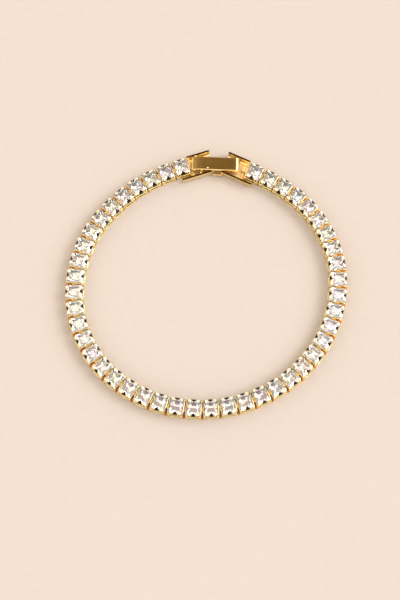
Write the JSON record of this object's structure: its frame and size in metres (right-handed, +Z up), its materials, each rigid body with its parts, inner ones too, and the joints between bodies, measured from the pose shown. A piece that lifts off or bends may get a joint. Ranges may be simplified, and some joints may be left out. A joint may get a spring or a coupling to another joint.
{
  "type": "tennis bracelet",
  "caption": "Bracelet of hooked box settings with square cut stones, closed by two end trays and a hinged fold-over clasp bar.",
  "frame": {"origin": "under the middle of the closed loop, on the surface that it lies on", "axes": "+Z up through the loop towards the stones' tables, +Y towards the clasp, +X towards the clasp's hinge"},
  "size_m": [0.0616, 0.0616, 0.0026],
  "materials": {
    "polished_gold": "polished gold plate",
    "brushed_gold": "fine brushed gold plate",
    "pin_gold": "drawn gold plated wire"
  },
  "bodies": {
    "bracelet": {"link_01": "polished_gold", "link_02": "polished_gold", "link_03": "polished_gold", "link_04": "polished_gold", "link_05": "polished_gold", "link_06": "polished_gold", "link_07": "polished_gold", "link_08": "polished_gold", "link_09": "polished_gold", "link_10": "polished_gold", "link_11": "polished_gold", "link_12": "polished_gold", "link_13": "polished_gold", "link_14": "polished_gold", "link_15": "polished_gold", "link_16": "polished_gold", "link_17": "polished_gold", "link_18": "polished_gold", "link_19": "polished_gold", "link_20": "polished_gold", "link_21": "polished_gold", "link_22": "polished_gold", "link_23": "polished_gold", "link_24": "polished_gold", "link_25": "polished_gold", "link_26": "polished_gold", "link_27": "polished_gold", "link_28": "polished_gold", "link_29": "polished_gold", "link_30": "polished_gold", "link_31": "polished_gold", "link_32": "polished_gold", "link_33": "polished_gold", "link_34": "polished_gold", "link_35": "polished_gold", "link_36": "polished_gold", "link_37": "polished_gold", "link_38": "polished_gold", "link_39": "polished_gold", "link_40": "polished_gold", "link_41": "polished_gold", "link_42": "polished_gold", "link_43": "polished_gold", "link_44": "polished_gold", "link_45": "polished_gold", "tray_left": "polished_gold", "tray_right": "polished_gold", "clasp_base": "polished_gold", "hinge_pin": "pin_gold"},
    "lever": {"clasp_lever": "brushed_gold"}
  },
  "joints": [
    {"name": "clasp_hinge", "type": "hinge", "parent": "bracelet", "child": "lever", "pos_m": [0.00672, 0.02689, 0.0015], "axis": [0.0434, 0.9991, 0], "range_deg": [0, 100]}
  ]
}
